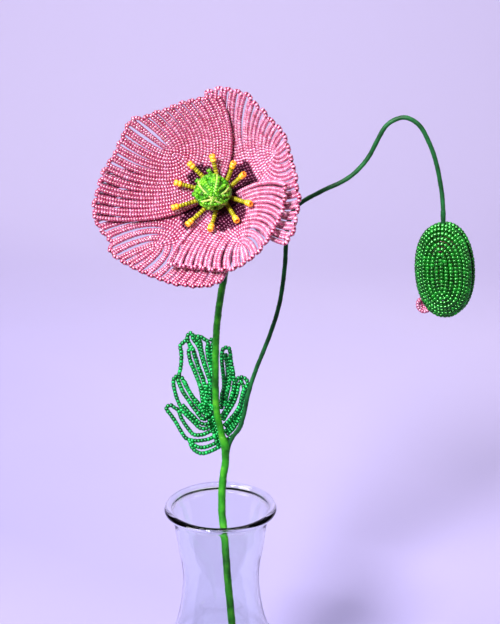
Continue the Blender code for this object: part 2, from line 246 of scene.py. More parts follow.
def smooth_route(points, step):
    """Evenly spaced points on a Catmull-Rom curve through the given ones."""
    knots = np.array(points, float)
    padded = np.vstack([2 * knots[0] - knots[1], knots, 2 * knots[-1] - knots[-2]])
    t = np.linspace(0, 1, SPAN_PARTS, endpoint=False)[:, None]
    dense = []
    for a, b, c, d in zip(padded, padded[1:], padded[2:], padded[3:]):
        dense.append(0.5 * (2 * b + (c - a) * t + (2 * a - 5 * b + 4 * c - d) * t ** 2
                            + (3 * b - a - 3 * c + d) * t ** 3))
    dense = np.vstack(dense + [padded[-2:-1]])
    return even_steps(dense, step)


def wire_lengths(line):
    """The length of wire up to each point of a line."""
    return np.r_[0, np.cumsum(np.linalg.norm(np.diff(line, axis=0), axis=1))]


def read_at(want, length, values):
    """Points or directions kept along a line, read at the wanted lengths of wire."""
    return np.stack([np.interp(want, length, values[:, k]) for k in range(3)], axis=1)


def even_steps(line, step):
    """The same line, read at even steps of about the given length."""
    length = wire_lengths(line)
    count = max(2, int(round(length[-1] / step)))
    return read_at(np.linspace(0, length[-1], count + 1), length, line)


def unit(vectors):
    """The same directions, each one unit long."""
    return vectors / np.linalg.norm(vectors, axis=1, keepdims=True)


def directions(line):
    """The unit direction of travel at each point of a line."""
    return unit(np.gradient(line, axis=0))


def side_directions(along):
    """Two unit vectors square to each direction, carried along without a twist."""
    start = np.cross(along[0], (0.0, 0.0, 1.0) if abs(along[0][2]) < 0.9 else (1.0, 0.0, 0.0))
    side = [start / np.linalg.norm(start)]
    for direction in along[1:]:
        carried = side[-1] - direction * np.dot(direction, side[-1])
        side.append(carried / np.linalg.norm(carried))
    side = np.array(side)
    return side, np.cross(along, side)


print("a bend's length", wire_lengths(smooth_route([(0, 0, 0), (1, 0, 1), (2, 0, 0)], 0.1))[-1].round(2))

# %% [markdown]
# A seed bead is a short, rounded piece of drawn glass tube with a hole, so a torus stretched
# along its hole is its real form. One is modelled, with 60 faces, and thousands are copied from
# it: each copy is set on the wire at its own place, turned to the wire and given its own tone.

# %% One bead
RING_RADIUS = 0.62
TUBE_RADIUS = 0.38
HOLE_STRETCH = 1.75


def model_bead():
    """The corners and faces of a bead 2 units wide, with its hole along Z."""
    bpy.ops.object.select_all(action="DESELECT")
    bpy.ops.mesh.primitive_torus_add(major_radius=RING_RADIUS, minor_radius=TUBE_RADIUS, major_segments=10,
                                     minor_segments=6, location=(0, 0, 0))
    torus = bpy.context.object
    bpy.ops.object.mode_set(mode="EDIT")
    bpy.ops.mesh.select_all(action="SELECT")
    bpy.ops.transform.resize(value=(1.0, 1.0, HOLE_STRETCH))
    bpy.ops.object.mode_set(mode="OBJECT")
    corners = np.array([v.co[:] for v in torus.data.vertices])
    faces = np.array([p.vertices[:] for p in torus.data.polygons])
    bpy.data.objects.remove(torus)
    return corners, faces


BEAD_CORNERS, BEAD_FACES = model_bead()
BEAD_X, BEAD_Y, BEAD_Z = BEAD_CORNERS.T
BEAD_RING = np.hypot(BEAD_X, BEAD_Y)
BEAD_LENGTH = np.ptp(BEAD_Z)
# Painted highlight and shade: the middle of a bead is made lighter, and its ends, where it meets the next bead,
# deeper in colour.
BEAD_PAINTED_SHADING = 1.1 * (BEAD_RING - 0.74) - 0.42 * np.abs(BEAD_Z)
# Silver-lined and wound beads are straighter: the same profile, turned flat side out.
TILT = np.arctan2(BEAD_Z / HOLE_STRETCH, BEAD_RING - RING_RADIUS) + math.radians(30)
BARREL_RING = RING_RADIUS + TUBE_RADIUS * np.cos(TILT)
BARREL_Z = TUBE_RADIUS * HOLE_STRETCH * np.sin(TILT)
BARREL_GROW = BARREL_RING / BEAD_RING
BARREL_CORNERS = np.stack([BEAD_X * BARREL_GROW, BEAD_Y * BARREL_GROW, BARREL_Z], axis=1)
# The same painted highlight and shade on the straighter beads: a lighter middle band and darker ends.
BARREL_PAINTED_SHADING = 0.9 * (BARREL_RING - 0.72) - 0.5 * np.maximum(np.abs(BARREL_Z) - 0.34, 0)
print("bead faces", len(BEAD_FACES), "length to width", round(BEAD_LENGTH / 2, 2))

# %% [markdown]
# A strung piece is built from strings. Each string is a line of wire with beads at even steps, and
# each bead is just long enough to touch the next. The tone of a bead is a number from 0 to 1 kept
# on its corners, which the glass reads. It differs at random, because no two beads in a hank are
# quite the same colour, and it also carries painted highlight and shade: a lighter middle and
# deeper ends on every bead, and a deeper tone on the two left petals, which face away from the light.
# The wire is a thin square tube inside.

# %% Strung pieces
BEAD_FILL = 1.04  # length of a bead against its step: the ends just meet
WIDTH_SPREAD = 0.025  # how much beads differ in width
TIP_SPREAD = 0.05  # how far they tip on the wire
WIRE_WIDTH = 0.3 * MM
STRING_KEYS = ("places", "ways", "widths", "lengths", "finish")


def string_beads(line, step=BEAD_STEP, width=BEAD_WIDTH, finish=0):
    """Place beads on a line of wire: their places, directions, sizes and finish numbers."""
    length = wire_lengths(line)
    count = max(1, int(round(length[-1] / step)))
    want = (np.arange(count) + 0.5) * length[-1] / count
    places = read_at(want, length, line)
    ways = unit(read_at(want, length, directions(line)))
    widths = width * (1 + rng.normal(0, WIDTH_SPREAD, count))
    lengths = np.full(count, length[-1] / count / BEAD_LENGTH) * 2 * BEAD_FILL
    return {"line": line, "places": places, "ways": ways, "widths": widths, "lengths": lengths,
            "finish": np.full(count, finish)}


def strung_piece(name, slot, node, strings, glasses, uneven=0.08, barrel=False, painted_shade_tone=0.5):
    """Join strings into one finished piece. Its beads' middle tone, the last argument, is set lower on the two
    left petals as painted shade; uneven is how far beads differ at random.
    """
    places, ways, widths, lengths, finish = (np.concatenate([s[key] for s in strings]) for key in STRING_KEYS)
    count = len(places)
    shape, shade = (BARREL_CORNERS, BARREL_PAINTED_SHADING) if barrel else (BEAD_CORNERS, BEAD_PAINTED_SHADING)
    helper = np.where(np.abs(ways[:, 2:]) < 0.9, [[0.0, 0.0, 1.0]], [[1.0, 0.0, 0.0]])
    side = unit(np.cross(ways, helper))
    roll = rng.uniform(0, math.tau, count)[:, None]
    up = np.cross(ways, side)
    turned = side * np.cos(roll) + up * np.sin(roll)
    up = np.cross(ways, turned)
    ways = unit(ways + rng.normal(0, TIP_SPREAD, ways.shape))
    axes = np.stack([turned * widths[:, None], up * widths[:, None], ways * lengths[:, None]], axis=1) / 2
    corners = np.einsum("bc,ncd->nbd", shape, axes) + places[:, None, :]
    faces = (BEAD_FACES[None] + np.arange(count)[:, None, None] * len(BEAD_CORNERS)).reshape(-1, 4)
    # Each bead's tone: a random spread round its middle tone, plus the painted highlight and shade on its
    # corners.
    tones = np.clip(rng.normal(painted_shade_tone, uneven, count)[:, None] + shade[None], 0, 1).ravel()
    numbers = np.repeat(finish, len(BEAD_FACES))
    corners, faces = [corners.reshape(-1, 3)], [faces]
    start = count * len(BEAD_CORNERS)
    for string in strings:
        tube, quads = square_tube(string["line"], WIRE_WIDTH / 2)
        corners.append(tube)
        faces.append(quads + start)
        start += len(tube)
    corners, faces = np.vstack(corners), np.vstack(faces)
    tones = np.r_[tones, np.full(len(corners) - len(tones), 0.5)]
    numbers = np.r_[numbers, np.full(len(faces) - len(numbers), len(glasses))]
    piece = fill_mesh(name, corners, faces, [*glasses, CRAFT_WIRE], numbers, tones)
    return finish_piece(piece, slot, node)


def ring_quads(count, sides):
    """The faces between a row of rings, each with the same number of corners."""
    first = np.arange(count - 1)[:, None] * sides
    here = np.arange(sides)[None]
    beside = (here + 1) % sides
    return np.stack([first + here, first + beside, first + sides + beside, first + sides + here],
                    axis=2).reshape(-1, 4)


def square_tube(line, half):
    """A closed four-sided tube along a line."""
    side, up = side_directions(directions(line))
    rings = np.stack([side, up, -side, -up], axis=1) * half + line[:, None, :]
    last = 4 * len(line) - 4
    caps = [[3, 2, 1, 0], [last, last + 1, last + 2, last + 3]]
    return rings.reshape(-1, 3), np.vstack([ring_quads(len(line), 4), caps])


def fill_mesh(name, corners, quads, materials, numbers, tones):
    """Make an object from corners and four-sided faces, with a material number for each face."""
    mesh = bpy.data.meshes.new(name)
    mesh.vertices.add(len(corners))
    mesh.vertices.foreach_set("co", corners.astype(np.float32).ravel())
    mesh.loops.add(quads.size)
    mesh.loops.foreach_set("vertex_index", quads.astype(np.int32).ravel())
    mesh.polygons.add(len(quads))
    mesh.polygons.foreach_set("loop_start", np.arange(0, quads.size, 4, dtype=np.int32))
    mesh.polygons.foreach_set("material_index", numbers.astype(np.int32))
    mesh.update(calc_edges=True)
    mesh.shade_smooth()
    layer = mesh.attributes.new("tone", "FLOAT", "POINT")
    layer.data.foreach_set("value", tones.astype(np.float32))
    for material in materials:
        mesh.materials.append(material)
    made = bpy.data.objects.new(name, mesh)
    bpy.context.collection.objects.link(made)
    return made


def finish_piece(piece, slot, *nodes):
    """Attach a finished piece to the root body and hide the model solid it stands for; slot is not used."""
    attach(piece, "root")
    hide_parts(*nodes)
    print(piece.name, "faces", len(piece.data.polygons))
    return piece


print("beads on 100 mm of petal wire", round(100 * MM / BEAD_STEP))

# %% [markdown]
# Pearled pink beads are drawn glass with a milky body and a thin lustre: light spreads inside them,
# which the subsurface part gives, and the lustre shows as a small bright point, which a high IOR
# gives. The blotch beads are nearly black aubergine glass. The green ones are clear glass with a
# silvered hole: the silver throws the glass's own colour back in sharp flashes and leaves the rest
# dark, so their ramps start near black and their specular tint is a light green.

# %% Bead glass
MILK_SPREAD = (1.0, 0.30, 0.45)
MILK_REACH = 1.2 * MM


def bead_glass(name, stops, roughness, lustre, flash="FFFFFF", milk=0.0):
    """Drawn bead glass: the ramp turns the tone into colour, and so paints deep ends and a light middle on
    every bead as painted shade and painted highlight.

    lustre, an IOR, and flash are its highlights. milk is how much light spreads inside, red furthest.
    """
    glass, tree, shader = new_material(name)
    tone = add_node(tree, "ShaderNodeAttribute", {"attribute_name": "tone"}).outputs["Fac"]
    set_inputs(tree, shader, Base_Color=ramp(tree, tone, stops), Roughness=roughness, IOR=lustre,
               Specular_Tint=colour(flash), Subsurface_Weight=milk, Subsurface_Radius=MILK_SPREAD,
               Subsurface_Scale=MILK_REACH)
    return glass


PINK_GLASS = bead_glass(
    "pearled pink bead glass", [(0.0, "7A1434"), (0.3, "A22C56"), (0.6, "BC5C86"), (0.85, "E2A8C8")],
    0.29, 2.2, milk=0.5)
AUBERGINE_GLASS = bead_glass(
    "aubergine bead glass", [(0.0, "0E0107"), (0.6, "34061E"), (1.0, "6C2646")], 0.32, 1.9, "E8A0C4")
LIME_GLASS = bead_glass(
    "lime bead glass", [(0.0, "042400"), (0.35, "0F5C00"), (0.6, "35920A"), (0.9, "78D024")],
    0.3, 1.9, "D8FF9C")
PALE_LIME_GLASS = bead_glass("pale straw-lime bead glass", [(0.0, "5E8C20"), (1.0, "C8DC70")], 0.3, 1.6)
OLIVE_GLASS = bead_glass(
    "olive bead glass", [(0.0, "3E3200"), (0.45, "7C7806"), (0.9, "C4C024")], 0.3, 1.7, "FFF8A0")
AMBER_GLASS = bead_glass(
    "amber bead glass", [(0.0, "FF8C10"), (0.5, "FFB420"), (0.9, "FFD850")], 0.3, 1.7)
EMERALD_GLASS = bead_glass(
    "silver-lined emerald bead glass", [(0.0, "001204"), (0.4, "013810"), (0.65, "046C28"), (0.9, "1EBC58")],
    0.32, 2.4, "70FFA4")
BUD_GLASS = bead_glass(
    "silver-lined deep green bead glass", [(0.0, "000800"), (0.4, "012003"), (0.65, "03450A"), (0.9, "128420")],
    0.31, 3.0, "8CFF90")
# Fine craft wire, drawn and smooth: a warm metal glint where beads part.
CRAFT_WIRE, wire_tree, wire_shader = new_material("coloured copper craft wire")
set_inputs(wire_tree, wire_shader, Base_Color=colour("B98A6A"), Metallic=1.0, Roughness=0.3)
print("bead glasses", [m.name for m in bpy.data.materials if "bead" in m.name])

# %% [markdown]
# The bloom is a bowl round its own axis. Its height over the middle grows with the 1.7th power of
# the distance, so it is flat under the pod and steep at the rim, with soft waves. Outer petals
# hug the same bowl a little behind the inner ones, measured square to its surface.

# %% The bloom's bowl
BOWL_RADIUS = 52 * MM
BOWL_DEPTH = 34 * MM
BOWL_POWER = 1.7
LAYER_GAP = 2.8 * MM
RUFFLE_DEPTH = 1.2 * MM
RUFFLE_WAVES = 7
PETAL_BASE = 4 * MM
level = Vector((-BLOOM_AXIS.y, BLOOM_AXIS.x, 0)).normalized()
upright = BLOOM_AXIS.cross(level)
BLOOM_TURN = np.array([level[:], upright[:], BLOOM_AXIS[:]])
BLOOM_FOOT = np.array(POD_CENTRE - BLOOM_AXIS * POD_HEIGHT)


def to_world(points):
    """Bloom coordinates (right, up, along the axis) to the frame's."""
    return points @ BLOOM_TURN + BLOOM_FOOT


def bowl_points(radius, angle, cup):
    """Points of the bowl for arrays of distance from the axis and angle round it."""
    share = radius / BOWL_RADIUS
    rise = cup * BOWL_DEPTH * share ** BOWL_POWER
    wave = RUFFLE_DEPTH * share ** 3 * np.sin(RUFFLE_WAVES * angle)
    return np.stack([radius * np.cos(angle), radius * np.sin(angle), rise + wave], axis=1)


def bowl_normals(radius, angle, cup):
    """Unit normals of the bowl on its open side."""
    step = 0.2 * MM
    here = bowl_points(radius, angle, cup)
    outward = bowl_points(radius + step, angle, cup) - here
    across = bowl_points(radius, angle + step / radius, cup) - here
    return unit(np.cross(outward, across))


print("bloom's foot at", BLOOM_FOOT.round(4), "bowl radius", BOWL_RADIUS, "and depth", BOWL_DEPTH)

# %% [markdown]
# Each petal is wired as bands of two rows. A band leaves the rim, dips round the middle of the
# petal in a U and comes back to the rim, where a loop of three or four beads turns it round and
# makes one scallop of the edge. Each next band lies outside the last one, nearer to the bloom's
# middle, so the U's nest. The rows touch low down and part a little towards the rim, and about
# every fourth band is opened to a thin lens.

# %% Petal rows
BAND_POINTS = 90
RIM_SPREAD = 0.3 * MM  # how far a band's rows part at the rim
LOOP_BULGE = 0.5  # a rim loop's height against its half width
OPENED_SHARE = 0.25  # of the bands are opened to a lens, by this many mm
LENS_LEAST, LENS_MOST = 0.4, 0.65
REACH_SPREAD = 0.006
LIFT_SPREAD = 0.12
BLOTCH_FADE = 0.30  # how much shorter the blotch is at BLOTCH_HALF from its middle
BLOTCH_HALF = math.radians(40)
BLOTCH_SPREAD = 0.6 * MM


def band_line(petal, row, wobble):
    """The two rows of one band as one closed line in petal coordinates (across, up)."""
    rim, hub, rows = petal["rim"], petal["hub"], petal["rows"]
    sides = []
    for offset in (0, 1):
        number = row + offset
        wide = (number + 0.5) / rows * petal["half_width"]
        deep = rim - (hub + (PETAL_BASE - hub) * number / (rows - 1))
        end_cos = wide ** 2 / (rim * deep + math.sqrt((rim * deep) ** 2 - (deep ** 2 - wide ** 2) * wide ** 2))
        end = math.acos(min(1.0, end_cos)) * wobble["reach"]
        turn = np.linspace(-end, end, BAND_POINTS)
        share = np.abs(turn) / end
        outward = offset * 2 - 1
        spread = outward * RIM_SPREAD * share ** 3
        lens = wobble["lens"] * np.sin(share ** 1.3 * math.pi) * outward
        across = wide * np.sin(turn) + np.sign(turn) * (spread + lens)
        up = rim - deep * np.cos(turn)
        turned = -np.degrees(np.arctan2(across, up))
        edge = np.interp(turned, petal["edge"][:, 0], petal["edge"][:, 1]) * MM
        grow = 1 + (edge / rim - 1) * share ** 1.5
        sides.append(np.stack([across, up], axis=1) * grow[:, None])
    inner, outer = sides
    right = rim_loop(inner[-1], outer[-1], inner[-1] - inner[-4])
    left = rim_loop(outer[0], inner[0], outer[0] - outer[3])
    return np.vstack([inner, right, outer[::-1], left, inner[:1]])


def rim_loop(start, end, heading):
    """The small loop that turns a band round at the rim."""
    heading = heading / np.linalg.norm(heading)
    middle = (start + end) / 2
    half = np.linalg.norm(end - start) / 2
    turn = np.linspace(0, math.pi, 9)[1:-1, None]
    return middle + (start - middle) * np.cos(turn) + heading * np.sin(turn) * half * LOOP_BULGE


def petal_string(petal, row):
    """One band of beads on the bowl, with the blotch's dark beads near the base."""
    opened = rng.uniform() < OPENED_SHARE
    wobble = {"reach": 1.0 + rng.normal(0, REACH_SPREAD),
              "lens": rng.uniform(LENS_LEAST, LENS_MOST) * MM if opened else 0.0}
    plan = band_line(petal, row, wobble)
    radius = np.hypot(plan[:, 0], plan[:, 1])
    angle = petal["facing"] - np.arctan2(plan[:, 0], plan[:, 1])
    normal = bowl_normals(radius, angle, petal["cup"])
    lift = rng.normal(0, LIFT_SPREAD) * MM - LAYER_GAP * petal["layer"]
    string = string_beads(to_world(bowl_points(radius, angle, petal["cup"]) + normal * lift))
    local = (string["places"] - BLOOM_FOOT) @ BLOOM_TURN.T
    out = np.hypot(local[:, 0], local[:, 1])
    off = np.arctan2(local[:, 1], local[:, 0]) - petal["facing"]
    off = np.abs((off + math.pi) % math.tau - math.pi)
    limit = petal["blotch"] * (1 - BLOTCH_FADE * (off / BLOTCH_HALF) ** 2) + rng.normal(0, BLOTCH_SPREAD)
    string["finish"][out < limit] = 1
    return string


# facing is where a petal points round the bloom, in degrees. rim, hub, half_width and blotch are in
# mm, cup is how steep it stands, layer 1 is behind layer 0, and the middle tone of its beads, given
# after blotch, is lower on the two left petals, which face away from the light: a painted shade.
# edge lists (degrees from the petal's middle, radius in mm), because no petal's rim is round.
PETALS = {
    "petal_inner_upper_left": {
        "facing": 143, "rim": 44.5, "hub": 30.0, "half_width": 44, "cup": 1.00, "layer": 0, "rows": 20,
        "blotch": 17, "painted_shade_tone": 0.38,
        "edge": ((-54, 42.5), (-28, 41.4), (-14, 43.2), (-8, 44.2), (-1, 47.5), (4, 47), (13, 46), (26, 46.5),
                 (37, 49), (45, 50.5), (52, 51.5), (58, 52))},
    "petal_inner_lower_right": {
        "facing": -52, "rim": 38.5, "hub": 31.0, "half_width": 40.5, "cup": 1.20, "layer": 0, "rows": 16,
        "blotch": 20, "painted_shade_tone": 0.5,
        "edge": ((-62, 39), (-50, 36.5), (-38, 35.5), (-23, 37.5), (-8, 39.5), (10, 39.5), (30, 38.5),
                 (60, 39.5))},
    "petal_outer_right": {
        "facing": 34, "rim": 43.0, "hub": 34.5, "half_width": 47, "cup": 1.00, "layer": 1, "rows": 20,
        "blotch": 21, "painted_shade_tone": 0.52,
        "edge": ((-62, 44.3), (-54, 45), (-45, 44), (-35, 43), (-24, 41.5), (-15, 40.5), (-4, 41.3), (6, 43),
                 (18, 41.8), (35, 45), (48, 45.5), (56, 44), (64, 42.5))},
    "petal_outer_lower_left": {
        "facing": -130, "rim": 46.0, "hub": 36.5, "half_width": 44, "cup": 1.00, "layer": 1, "rows": 22,
        "blotch": 22, "painted_shade_tone": 0.40,
        "edge": ((-58, 45), (-46, 48.5), (-34, 51.4), (-27, 50.5), (-23, 49.7), (-16, 47.6), (-11, 50),
                 (-6, 49), (0, 47.5), (16, 44.5), (35, 43), (41, 42.8), (50, 42), (58, 40), (66, 37))},
}


def make_petal(name, petal):
    """All the bands of one petal, joined into one piece."""
    petal = dict(petal, facing=math.radians(petal["facing"]), edge=np.array(petal["edge"]))
    for key in ("rim", "hub", "half_width", "blotch"):
        petal[key] *= MM
    strings = [petal_string(petal, row) for row in range(0, petal["rows"], 2)]
    strung_piece("beaded_" + name, "pink_beads", name, strings, [PINK_GLASS, AUBERGINE_GLASS],
                 painted_shade_tone=petal["painted_shade_tone"])


for petal_name, petal_values in PETALS.items():
    make_petal(petal_name, petal_values)

# %% [markdown]
# The pod is a wooden ball wound with small lime beads in every direction, as a ball of yarn is.
# Each wind is a circle round the ball with its own tilt, a little further out than the one below.
# The last three winds are strings of smaller, pale beads that cross at the front like a poppy's rays.

# %% Seed pod
WINDS = 13
RAYS = 3
RAY_TURN = 0.9
WIND_RADIUS = 7.5 * MM
WIND_RISE = 0.06 * MM
LIME_BEAD = 1.9 * MM
RAY_BEAD = 1.1 * MM


def make_pod():
    """Lime beads wound on the pod's ball, then the pale strings over its front."""
    strings = []
    for k in range(WINDS + RAYS):
        is_ray = k >= WINDS
        axis = rng.normal(0, 1, 3)
        if is_ray:
            turn = k * math.pi / RAYS + RAY_TURN
            axis = np.array([math.cos(turn), math.sin(turn), rng.normal(0, 0.3)])
        axis /= np.linalg.norm(axis)
        one, two = side_directions(np.array([axis, axis]))
        angle = np.linspace(0, math.tau, 60)[:, None]
        ring = (WIND_RADIUS + WIND_RISE * k) * (np.cos(angle) * one[0] + np.sin(angle) * two[0])
        width = RAY_BEAD if is_ray else LIME_BEAD
        strings.append(string_beads(to_world(ring + [0, 0, POD_HEIGHT]), width * 0.75, width, int(is_ray)))
    strung_piece("beaded_seed_pod", "lime_beads", "pod_beading", strings, [LIME_GLASS, PALE_LIME_GLASS],
                 uneven=0.16, barrel=True)


make_pod()

# %% [markdown]
# Each stamen is a stiff wire with olive beads that leans out from under the pod and curves
# forward. Two fat amber beads make its tip, the last one with its hole facing out. Three short
# loops of lime beads stick out under the pod as well.

# %% Stamens
# (degrees round the bloom, reach of the tip from its middle in mm)
STAMENS = ((97, 17.6), (136, 18.8), (171, 20.0), (205, 21.9), (236, 20.2),
           (272, 18.2), (317, 18.8), (348, 20.1), (33, 17.8), (58, 17.4))
FILAMENT_WIDTH = 2.3 * MM
TIP_BEAD = 3.2 * MM
TIP_STEP = 1.8 * MM
TIP_POINTS = 9
POD_LOOPS = (114, 153, 188)
POD_LOOP_WIDTH = 2.4 * MM


def outward_at(degrees):
    """The direction away from the bloom's axis at an angle round it."""
    angle = math.radians(degrees)
    return np.array([math.cos(angle), math.sin(angle), 0.0])


def make_stamen(number, degrees, reach):
    """One filament and its tip, as two pieces."""
    out = outward_at(degrees)
    rise = np.array([0.0, 0.0, 1.0])
    points = [out * 4.4 + rise * 3.2, out * 9.5 + rise * 6.2, out * reach + rise * 12.5]
    line = to_world(smooth_route(np.array(points) * MM, 0.4 * MM))
    cut = len(line) - TIP_POINTS
    strung_piece(f"beaded_filament_{number}", "olive_beads", f"stamen_filament_{number}",
                 [string_beads(line[:cut], width=FILAMENT_WIDTH)], [OLIVE_GLASS])
    strung_piece(f"beaded_anther_{number}", "amber_beads", f"anther_{number}",
                 [string_beads(line[cut - 1:], TIP_STEP, TIP_BEAD)], [AMBER_GLASS])


def make_pod_loop(number, degrees):
    """A short string of lime beads that leaves the pod near its foot."""
    out = outward_at(degrees)
    line = to_world(np.linspace(out * 7.8 + [0, 0, 5.0], out * 12.2 + [0, 0, 7.8], 8) * MM)
    strung_piece(f"beaded_pod_loop_{number}", "lime_beads", f"pod_loop_{number}",
                 [string_beads(line, width=POD_LOOP_WIDTH)], [LIME_GLASS])


for stamen_number, (stamen_angle, stamen_reach) in enumerate(STAMENS, start=1):
    make_stamen(stamen_number, stamen_angle, stamen_reach)
for loop_number, loop_angle in enumerate(POD_LOOPS, start=1):
    make_pod_loop(loop_number, loop_angle)

# %% [markdown]
# Floral tape is waxed crepe paper, wound along the wire in a long spiral. Each turn overlaps the
# last one, so a low step runs round the stem like a slow thread, and the paper's crinkles run
# along the step. The step is real geometry: the radius of each ring follows the spiral.

# %% Floral tape
TAPE_TURN = 11 * MM  # length of stem that one turn covers
END_PINCH = 0.45  # how far a rod's end ring narrows, and how far it stands out
END_ROUND = 0.12


def tape_paper(name, stops):
    """Waxed crepe paper: satin, dyed in 6 mm patches, its gloss broken by crinkles of 0.4 mm."""
    paper, tree, shader = new_material(name)
    place = add_node(tree, "ShaderNodeTexCoord").outputs["Object"]
    dye = add_node(tree, "ShaderNodeTexNoise", Vector=place, Scale=160.0, Detail=3.0)
    tone = ramp(tree, dye.outputs["Fac"], stops)
    stretched = add_node(tree, "ShaderNodeMapping", Vector=place, Scale=(1.0, 1.0, 0.22))
    crinkle = add_node(tree, "ShaderNodeTexNoise", Vector=stretched.outputs["Vector"], Scale=2600.0, Detail=2.0)
    bump = add_node(tree, "ShaderNodeBump", Strength=0.35, Distance=0.0002, Height=crinkle.outputs["Fac"])
    set_inputs(tree, shader, Base_Color=tone, Normal=bump.outputs["Normal"], Roughness=0.5,
               Specular_IOR_Level=0.3)
    return paper


TAPE = tape_paper("moss green floral tape", [(0.30, "145810"), (0.52, "2A8E1A"), (0.75, "56B028")])
THIN_TAPE = tape_paper("dark green floral tape", [(0.30, "093818"), (0.52, "125628"), (0.75, "22743A")])


def taped_rod(name, node, line, widths, sides=16, paper=TAPE):
    """A finished rod of wound tape along a line, with a spiral step and rounded ends."""
    step = np.linalg.norm(line[1] - line[0])
    side, up = side_directions(directions(line))
    count = len(line)
    angle = np.arange(sides) * math.tau / sides
    travel = np.arange(count)[:, None] * step / TAPE_TURN
    thread = (travel - angle[None] / math.tau) % 1.0
    uneven = 1 + 0.02 * np.sin(travel * 9.1) + 0.015 * np.sin(travel * 23.7 + angle[None])
    radius = widths[:, None] / 2 * (0.97 + 0.07 * thread ** 3) * uneven
    around = np.cos(angle)[None, :, None] * side[:, None, :] + np.sin(angle)[None, :, None] * up[:, None, :]
    rings = line[:, None, :] + around * radius[:, :, None]
    ends = []
    for row, inward in ((0, 1), (count - 1, -1)):
        tip = rings[row] * END_PINCH + line[row] * (1 - END_PINCH)
        ends.append(tip - directions(line)[row] * inward * widths[row] * END_ROUND)
    corners = np.concatenate([ends[0][None], rings, ends[1][None]]).reshape(-1, 3)
    quads = ring_quads(count + 2, sides)
    piece = fill_mesh(name, corners, quads, [paper], np.zeros(len(quads), int), np.full(len(corners), 0.5))
    return finish_piece(close_ends(piece), "tape", node)


def edit_only(piece):
    """Select one object alone and open it in edit mode."""
    bpy.ops.object.select_all(action="DESELECT")
    piece.select_set(True)
    bpy.context.view_layer.objects.active = piece
    bpy.ops.object.mode_set(mode="EDIT")


def close_ends(piece):
    """Fill the open rings at both ends of a rod."""
    edit_only(piece)
    bpy.ops.mesh.select_all(action="DESELECT")
    bpy.ops.mesh.select_non_manifold()
    bpy.ops.mesh.edge_face_add()
    bpy.ops.mesh.select_all(action="SELECT")
    bpy.ops.mesh.normals_make_consistent(inside=False)
    bpy.ops.object.mode_set(mode="OBJECT")
    return piece


# The stems' routes, as (right, back, up from H) in mm.
MAIN_ROUTE = [
    (12, -16, -151.5), (5.8, 2, -72), (3.6, 8, -48), (1.8, 15.5, -26), (0.3, 20, -12),
    (0.7, 22.8, 4), (2.4, 24.5, 17), (1.5, 25, 26.2), (-0.1, 25, 34.5), (-2.6, 25, 50),
    (-2.4, 23, 84.5), (-0.6, 18, 106), (3, 11, 129), (6.4, 7.5, 148), (8.2, 4.8, 160),
    (8.5, 1.2, 168.2), (6.6, -4.9, 171.6),
]
BUD_ROUTE = [
    (3.6, 25.2, 22.5), (4.8, 24.8, 27), (6.8, 24.3, 31.2), (10.2, 23.5, 37), (12.4, 22.5, 44),
    (14.8, 21, 56.8), (18.6, 19.5, 70.6), (26.3, 18, 92), (31.2, 16, 110), (33.7, 14.5, 130),
    (34.5, 13, 148), (36.2, 12.5, 157), (40.5, 12, 164), (51.1, 10, 171), (63.4, 8, 177.6),
    (70.5, 6.8, 184), (75.4, 6, 191), (82.2, 4, 205), (89.3, 3, 209.8), (95.3, 2, 209),
    (100.6, 1, 204), (106.3, 0, 192), (109.8, -0.5, 179), (111.7, -1, 167),
    (112.4, -1, 154),
]
MAIN_WIDTH = 3.7 * MM
BUD_STEM_WIDTH = 2.35 * MM
FORK_EXTRA = 0.5 * MM  # the main stem holds the side stem's end too, under the fork
FORK_LOW, FORK_HIGH = H + 0.0185, H + 0.0315


def stem_line(route, step):
    """A stem's route as evenly spaced points in the frame."""
    return smooth_route(np.array(route) * MM + [0, 0, H], step)


def make_stems():
    """The taped main stem, the side stem, their wrap and the bloom's neck."""
    main = stem_line(MAIN_ROUTE, 0.6 * MM)
    below_fork = np.clip((H + 0.030 - main[:, 2]) / 0.012, 0, 1)
    taped_rod("wound_main_stem", "stem_tape", main, MAIN_WIDTH + FORK_EXTRA * below_fork)
    side = stem_line(BUD_ROUTE, 0.5 * MM)
    taped_rod("wound_bud_stem", "bud_stem", side, np.full(len(side), BUD_STEM_WIDTH), 12, THIN_TAPE)
    wrap_line = main[(main[:, 2] > FORK_LOW) & (main[:, 2] < FORK_HIGH)]
    swell = np.sin(np.linspace(0, math.pi, len(wrap_line))) ** 2
    wrap_line = wrap_line + np.outer(swell, (0.7 * MM, 0, 0))
    taped_rod("wound_fork_wrap", "fork_tape", wrap_line, (3.9 + 1.1 * swell) * MM)
    neck_share = np.linspace(0, 1, 28)
    neck_line = BLOOM_FOOT + np.outer(-15.5 + 19.3 * neck_share, BLOOM_AXIS) * MM
    neck_width = np.interp(neck_share, [0, 0.3, 0.55, 0.64, 1.0], [4.4, 6.0, 6.8, 5.6, 4.6]) * MM
    taped_rod("wound_flower_neck", "flower_neck", neck_line, neck_width)


make_stems()

# %% [markdown]
# The carafe is blown soda-lime glass with a wall of about 1.2 mm. It is drawn as one outline, from
# the middle of the base, up the outside, over the small rolled lip and down inside to the floor,
# and spun once round. The base is pushed up a little, so that it stands on a ring.

# %% Glass carafe
def clear_glass():
    """Clear soda-lime glass, fire-polished: dark only where it bends the room's edge into view."""
    glass, tree, shader = new_material("clear soda-lime glass")
    set_inputs(tree, shader, Base_Color=colour("F6FAFA"), Transmission_Weight=1.0, Roughness=0.0, IOR=1.5)
    return glass


